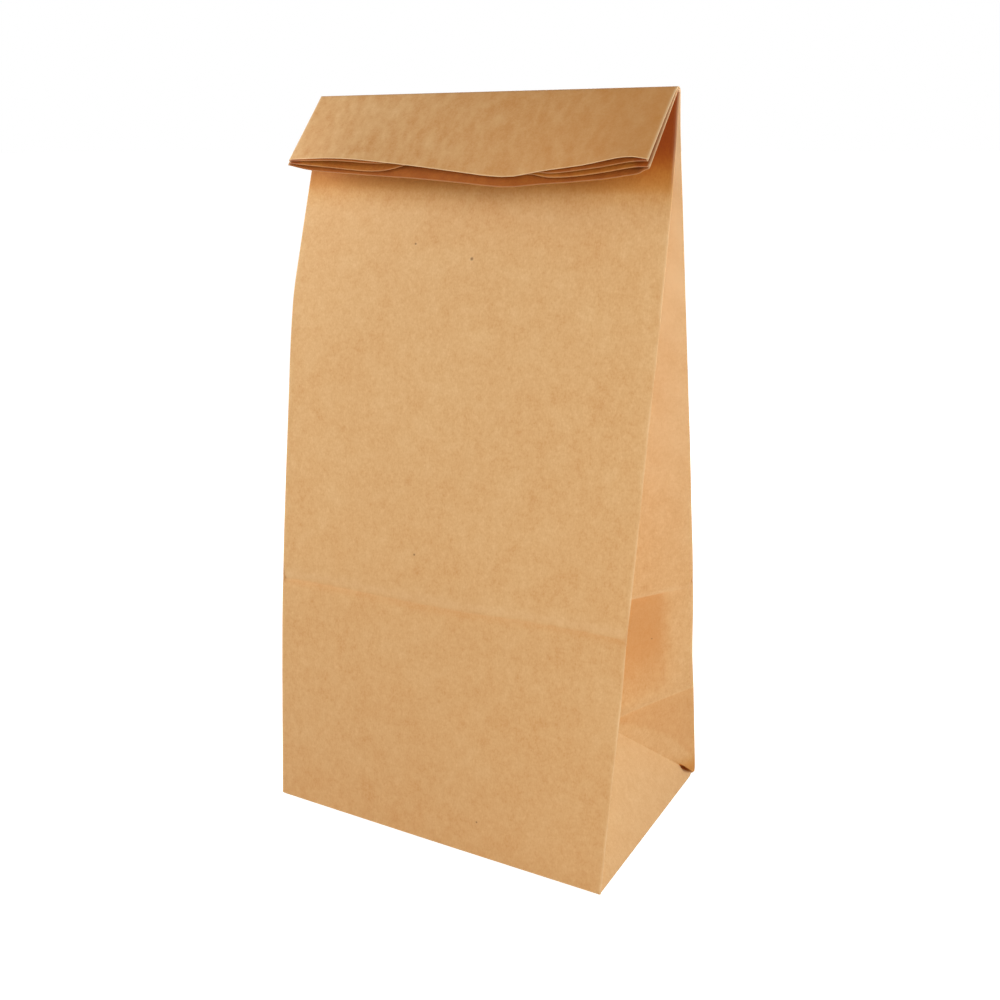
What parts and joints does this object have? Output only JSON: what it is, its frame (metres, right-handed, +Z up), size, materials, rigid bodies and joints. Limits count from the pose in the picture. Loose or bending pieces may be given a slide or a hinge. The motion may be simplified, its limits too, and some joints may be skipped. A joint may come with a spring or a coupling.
{
  "type": "paper lunch bag",
  "caption": "Flat-bottomed brown kraft paper bag standing upright, with tucked sides and its flattened top folded once over the front.",
  "frame": {"origin": "middle of the base, on the surface that the bag stands on", "axes": "+Z up; +X across the front panel, to the right as seen from the front; the front panel and the folded-over flap face -Y"},
  "size_m": [0.16, 0.108, 0.305],
  "materials": {
    "kraft_paper": "unbleached machine-glazed kraft paper, matt with a slight sheen"
  },
  "bodies": {
    "root": {"paper_bag": "kraft_paper"}
  },
  "joints": []
}
